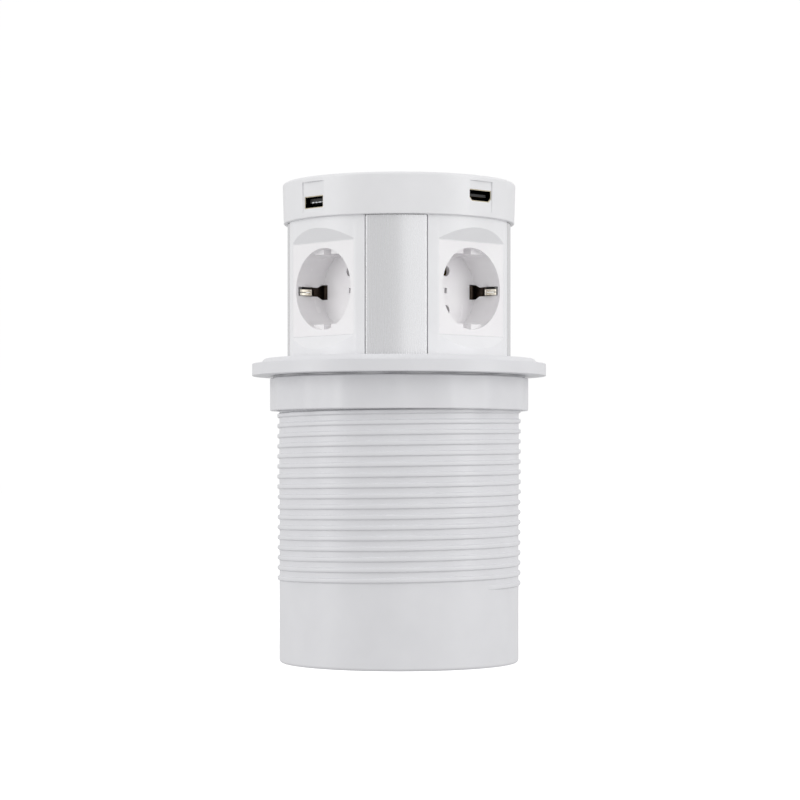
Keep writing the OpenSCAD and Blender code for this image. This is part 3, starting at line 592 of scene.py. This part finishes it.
def addStrip(bm, path, thick, levels, place, slitAt=None):
    # sheet metal that follows the path: levels are the places across its width, and the middle can be slit
    rows = []
    for i, point in enumerate(path):
        way = (path[min(i + 1, len(path) - 1)] - path[max(i - 1, 0)]).normalized()
        side = Vector((-way.y, way.x)) * thick / 2
        rows.append([[bm.verts.new(place(q, w)) for w in levels] for q in (point + side, point - side)])
    slits = [slitAt is not None and slitAt(a) and slitAt(b) for a, b in zip(path, path[1:])]
    last, middle = len(levels) - 1, (len(levels) - 1) // 2

    def wall(a, b, level):
        bm.faces.new((a[0][level], b[0][level], b[1][level], a[1][level]))

    def end(row, bands):
        for band in bands:
            bm.faces.new((row[0][band], row[0][band + 1], row[1][band + 1], row[1][band]))

    for i, slit in enumerate(slits):
        a, b = rows[i], rows[i + 1]
        for band in range(last):
            if not (slit and band == middle):
                for side in (0, 1):
                    bm.faces.new((a[side][band], b[side][band], b[side][band + 1], a[side][band + 1]))
        for level in (0, last, middle, middle + 1) if slit else (0, last):
            wall(a, b, level)
        if i and slit != slits[i - 1]:
            end(a, [middle])
    for row, slit in ((rows[0], slits[0]), (rows[-1], slits[-1])):
        end(row, [band for band in range(last) if not (slit and band == middle)])


def easeSheet(bm, width):
    bmesh.ops.recalc_face_normals(bm, faces=bm.faces)
    easeEdges(bm, sharpEdges(bm, sharpFrom["sheet"]), width)


def makeClips():
    c = clip
    leg, finger = splitPath(bentPath(c["path"], c["bend"]), c["plateFrom"])
    foot, leg = splitPath(leg, c["footUpTo"])
    foot = [Vector((p.x, -p.y)) for p in reversed(foot[1:])] + foot
    bare = [(foot, [-c["footHalf"], c["footHalf"]], (1,)), (leg, [-c["legHalf"], c["legHalf"]], (1, -1))]
    plated = [(finger, [c["low"], *c["slit"], c["high"]], (1, -1))]

    def place(q, w):
        return q.x * mm, q.y * mm, (c["centre"] + w) * mm

    for corner in corners:
        # the leg takes the nearly black painted shade, and the fingers keep their pale plating
        for name, finish, strips in (("earthLeg_", "bronze", bare), ("earthSpring_", "spring", plated)):
            bm = bmesh.new()
            for path, levels, sides in strips:
                for side in sides:
                    sidePath = [Vector((p.x, side * p.y)) for p in path]
                    addStrip(bm, sidePath, c["thick"], levels, place, lambda q: q.x > c["slitFrom"])
            easeSheet(bm, c["edge"])
            if strips is bare:
                tailTo = c["path"][0][0] - c["thick"] / 2 + c["tailSunk"]
                softBox(bm, (c["tailFrom"], -c["tailHalf"], c["centre"] - c["tailRise"]),
                        (tailTo, c["tailHalf"], c["centre"] + c["tailRise"]), c["edge"])
            turnPart(bm, bm.verts, faceAngle[corner])
            finishPiece(name + corner, bm, finish, "tower", "spring_metal", "earth_clip_" + corner)


# Contacts on the ports' tongues: four sprung beams under the one, rows of flat pads on the other

usbBeams = {"corner": "front_left", "pitch": 2.5, "count": 4, "half": 1.18, "thick": 0.2,
            "tongueUnder": nodeBox("usb_tongue")[0][2],
            "path": [(45.0, -0.1), (47.5, -0.1), (51.3, -0.6), (52.9, -0.3), (53.4, -0.1)], "bend": 0.7,
            "edge": 0.05, "tip": [(53.3, -0.2), (53.65, 0.45)], "tipEdge": 0.16}
hdmiFrom, hdmiTo = nodeBox("hdmi_tongue")
hdmiPads = {"corner": "front_right", "pitch": 1.0, "half": 0.25, "proud": 0.06, "from": 47.0, "to": 53.5,
            "edge": 0.02, "rows": [(hdmiTo[2], 10), (hdmiFrom[2], 9)]}


def inRow(count, pitch):
    return [(i - (count - 1) / 2) * pitch for i in range(count)]


def makeUsbContacts():
    u = usbBeams
    bm = bmesh.new()
    for across in inRow(u["count"], u["pitch"]):
        addStrip(bm, bentPath(u["path"], u["bend"]), u["thick"], [-u["half"], u["half"]],
                 lambda q, w: (q.x * mm, (across + w) * mm, (u["tongueUnder"] + q.y) * mm))
    easeSheet(bm, u["edge"])
    (back, low), (front, high) = u["tip"]
    for across in inRow(u["count"], u["pitch"]):
        softBox(bm, (back, across - u["half"], u["tongueUnder"] + low),
                (front, across + u["half"], u["tongueUnder"] + high), u["tipEdge"])
    turnPart(bm, bm.verts, faceAngle[u["corner"]])
    finishPiece("usbContacts", bm, "screw", "tower", "contact_brass")


def makeHdmiContacts():
    h = hdmiPads
    bm = bmesh.new()
    for height, count in h["rows"]:
        for across in inRow(count, h["pitch"]):
            softBox(bm, (h["from"], across - h["half"], height - h["proud"]),
                    (h["to"], across + h["half"], height + h["proud"]), h["edge"], 1)
    turnPart(bm, bm.verts, faceAngle[h["corner"]])
    finishPiece("hdmiContacts", bm, "gold", "tower", "contact_brass")


# Cap

cap = {"edge": 0.2, "low": nodeBox("cap_shell")[0][2], "lipUnder": 0.25, "lipOver": 0.2, "lipInset": 0.05,
       "lipWide": 0.9, "panelHalf": 30, "drawnIn": 0.975, "facesApart": 90}


def makeCap():
    # with the fine lip by which it sits down on the panels, drawn in over the strips
    c, apart = cap, cap["facesApart"]
    bm = easedCopy("cap_shell", c["edge"])
    lip = bmesh.new()
    low, high, outer = c["low"] - c["lipUnder"], c["low"] + c["lipOver"], skin["radius"] - c["lipInset"]
    inner = outer - c["lipWide"]
    spunProfile(lip, [(inner, low), (outer, low), (outer, high), (inner, high)])
    for vert in lip.verts:
        fromFace = abs((degrees(atan2(vert.co.y, vert.co.x)) + apart / 2) % apart - apart / 2)
        if fromFace > c["panelHalf"]:
            vert.co.x *= c["drawnIn"]
            vert.co.y *= c["drawnIn"]
    joinInto(bm, lip)
    finishPiece("capCover", bm, "cap", "tower", "tower_white", "cap_shell")


# The nodes that stay get the finish of their slot

slotFinish = {"tower_white": "tower", "sleeve_white": "sleeve", "strip_silver": "silver",
              "inner_plastic": "inner", "dark_rubber": "rubber", "washer_grey": "washer",
              "contact_brass": "brass", "spring_metal": "spring", "screw_steel": "screw",
              "port_metal": "port", "tongue_grey": "tongue", "board_green": "board"}


def dressNodes():
    for part in frame["record"]["subparts"]:
        mesh = frame["nodes"][part["node"]].data
        mesh.materials.clear()
        mesh.materials.append(finishes[slotFinish[part["material_slot"]]])


dressNodes()
makeSleeve()
print("sleeve made")
makeNut()
print("nut made")
makeTowerSkin()
makeClips()
makeUsbContacts()
makeHdmiContacts()
makeCap()
print("tower made")


# Studio: a pale floor, a white surround, two soft lamps at the sides, and a third that only gleams

studio = {
    "distance": 1183, "height": 98.6, "azimuth": 46.4, "lens": 108.3, "sensor": 36,
    "shiftX": 0.0012, "shiftY": 0.0759, "clipStart": 10, "clipEnd": 50000,
    "floorRadius": 6000, "floorUnder": 0.02, "floorSides": 96, "surroundRadius": 9000, "surroundDetail": 3,
    "lamps": {"left": {"angle": -68, "power": 3.1, "width": 500, "height": 420},
              "right": {"angle": 64, "power": 3.4, "width": 500, "height": 420},
              "gleam": {"angle": 26, "power": 1.55, "width": 960, "height": 260}},
    "lampDistance": 1100, "lampTall": 1000, "lampAim": 110,
    "skyFrom": -0.6, "skyTo": 0.9, "skyBelow": 0.55, "skyAbove": 0.90,
    "floorGlow": 0.62,
}
white = (1, 1, 1, 1)


def lookAt(thing, target):
    thing.rotation_euler = (Vector(target) - thing.location).to_track_quat("-Z", "Y").to_euler()


def aroundCamera(angle, distance, height):
    # a place at an angle round the object from the camera's own direction
    a = radians(studio["azimuth"] + angle)
    return Vector((sin(a) * distance * mm, -cos(a) * distance * mm, height * mm))


def addToScene(name, data):
    made = bpy.data.objects.new(name, data)
    bpy.context.scene.collection.objects.link(made)
    return made


def makeCamera():
    camera = addToScene("camera", bpy.data.cameras.new("camera"))
    camera.location = aroundCamera(0, studio["distance"], studio["height"])
    lookAt(camera, (0, 0, studio["height"] * mm))
    data = camera.data
    data.lens, data.sensor_width = studio["lens"], studio["sensor"]
    data.shift_x, data.shift_y = studio["shiftX"], studio["shiftY"]
    data.clip_start, data.clip_end = studio["clipStart"] * mm, studio["clipEnd"] * mm
    bpy.context.scene.camera = camera


def stagePiece(name, bm, material):
    mesh = bpy.data.meshes.new(name)
    bm.to_mesh(mesh)
    bm.free()
    mesh.materials.append(material)
    piece = addToScene(name, mesh)
    piece.visible_diffuse = piece.visible_glossy = piece.visible_shadow = False


def makeFloor():
    # matt white paper, lit from within as well, so that it comes out white all over
    bm = bmesh.new()
    bmesh.ops.create_circle(bm, cap_ends=True, radius=studio["floorRadius"] * mm,
                            segments=studio["floorSides"])
    bmesh.ops.translate(bm, vec=(0, 0, -studio["floorUnder"] * mm), verts=bm.verts)
    paper = newMaterial("floor white matt paper", "#F6F6F6", 0.9, Emission_Color=white,
                        Emission_Strength=studio["floorGlow"])[0]
    stagePiece("floor", bm, paper)


def makeSurround():
    # no surface of its own, only an even white behind the object
    bm = bmesh.new()
    bmesh.ops.create_icosphere(bm, subdivisions=studio["surroundDetail"],
                               radius=studio["surroundRadius"] * mm)
    glow = newMaterial("surround white", "#000000", 1.0, Emission_Color=white, Emission_Strength=1.0)[0]
    stagePiece("surround", bm, glow)


def makeLamps():
    for name, lit in studio["lamps"].items():
        data = bpy.data.lights.new(name + "Lamp", "AREA")
        data.shape = "RECTANGLE"
        data.size, data.size_y = lit["width"] * mm, studio["lampTall"] * mm
        data.energy = lit["power"]
        lamp = addToScene(data.name, data)
        lamp.location = aroundCamera(lit["angle"], studio["lampDistance"], lit["height"])
        lamp.visible_diffuse = name != "gleam"    # the gleam only shines in glossy surfaces
        lookAt(lamp, (0, 0, studio["lampAim"] * mm))


def makeSkyLight():
    # soft light from all round, dimmest from the floor and brightest from overhead
    s = studio
    world = bpy.data.worlds.new("studioLight")
    bpy.context.scene.world = world
    world.use_nodes = True
    tree = world.node_tree
    way = addNode(tree, "ShaderNodeTexCoord").outputs["Generated"]
    upward = addNode(tree, "ShaderNodeSeparateXYZ", None, {0: way}).outputs["Z"]
    rising = addNode(tree, "ShaderNodeMapRange", {"From Min": s["skyFrom"], "From Max": s["skyTo"],
                                                  "To Min": s["skyBelow"], "To Max": s["skyAbove"]},
                     {"Value": upward}).outputs[0]
    tree.nodes["Background"].inputs["Color"].default_value = white
    tree.links.new(rising, tree.nodes["Background"].inputs["Strength"])


makeCamera()
makeFloor()
makeSurround()
makeLamps()
makeSkyLight()
bpy.context.scene.view_settings.view_transform = "Standard"
print("studio made")
